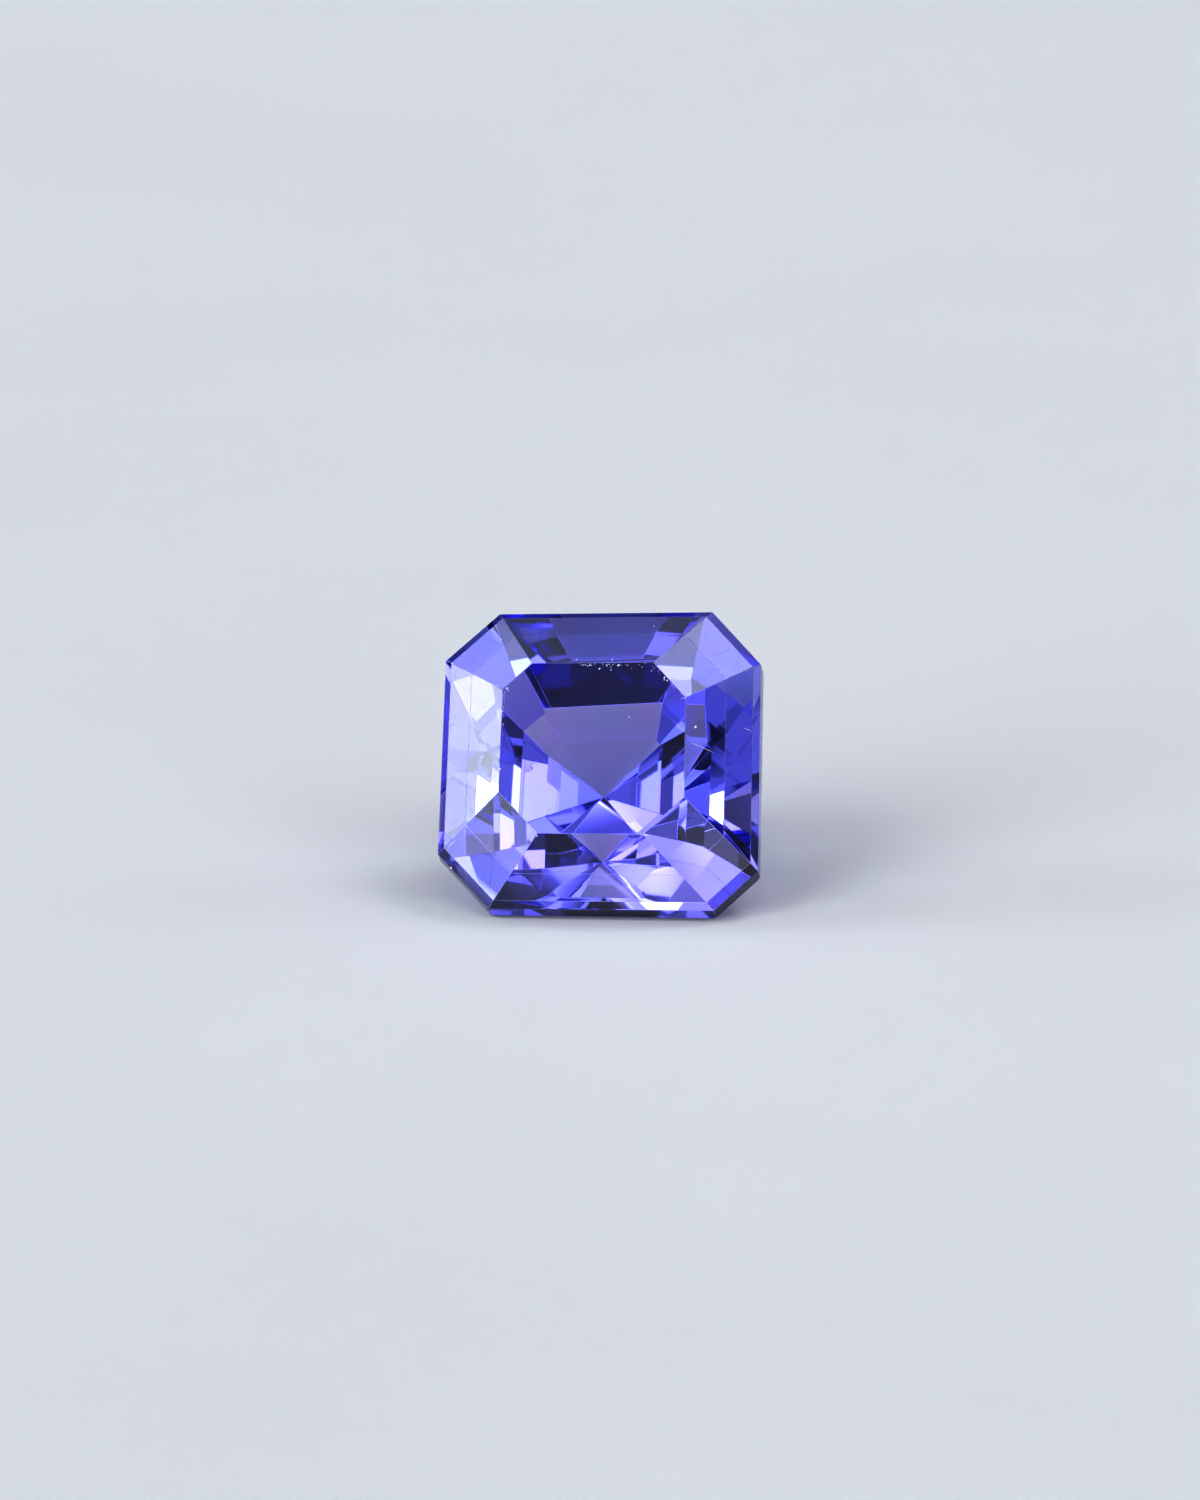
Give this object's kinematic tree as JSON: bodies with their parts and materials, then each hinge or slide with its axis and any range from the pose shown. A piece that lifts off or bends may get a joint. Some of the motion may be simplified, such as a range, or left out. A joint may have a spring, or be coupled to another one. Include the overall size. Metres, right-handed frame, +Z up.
{
  "type": "faceted tanzanite gemstone",
  "caption": "Cut and polished clear violet-blue gemstone, a square step cut with cut corners, lying on a pavilion facet with its table tilted up to the front.",
  "frame": {"origin": "middle of the stone's footprint, on the surface that it rests on", "axes": "+Z up, the table facet faces -Y and up, turned slightly towards -X"},
  "size_m": [0.0082, 0.0066, 0.0067],
  "materials": {
    "gem": "polished, clear violet blue"
  },
  "bodies": {
    "root": {"tanzanite_gem": "gem"}
  },
  "joints": []
}
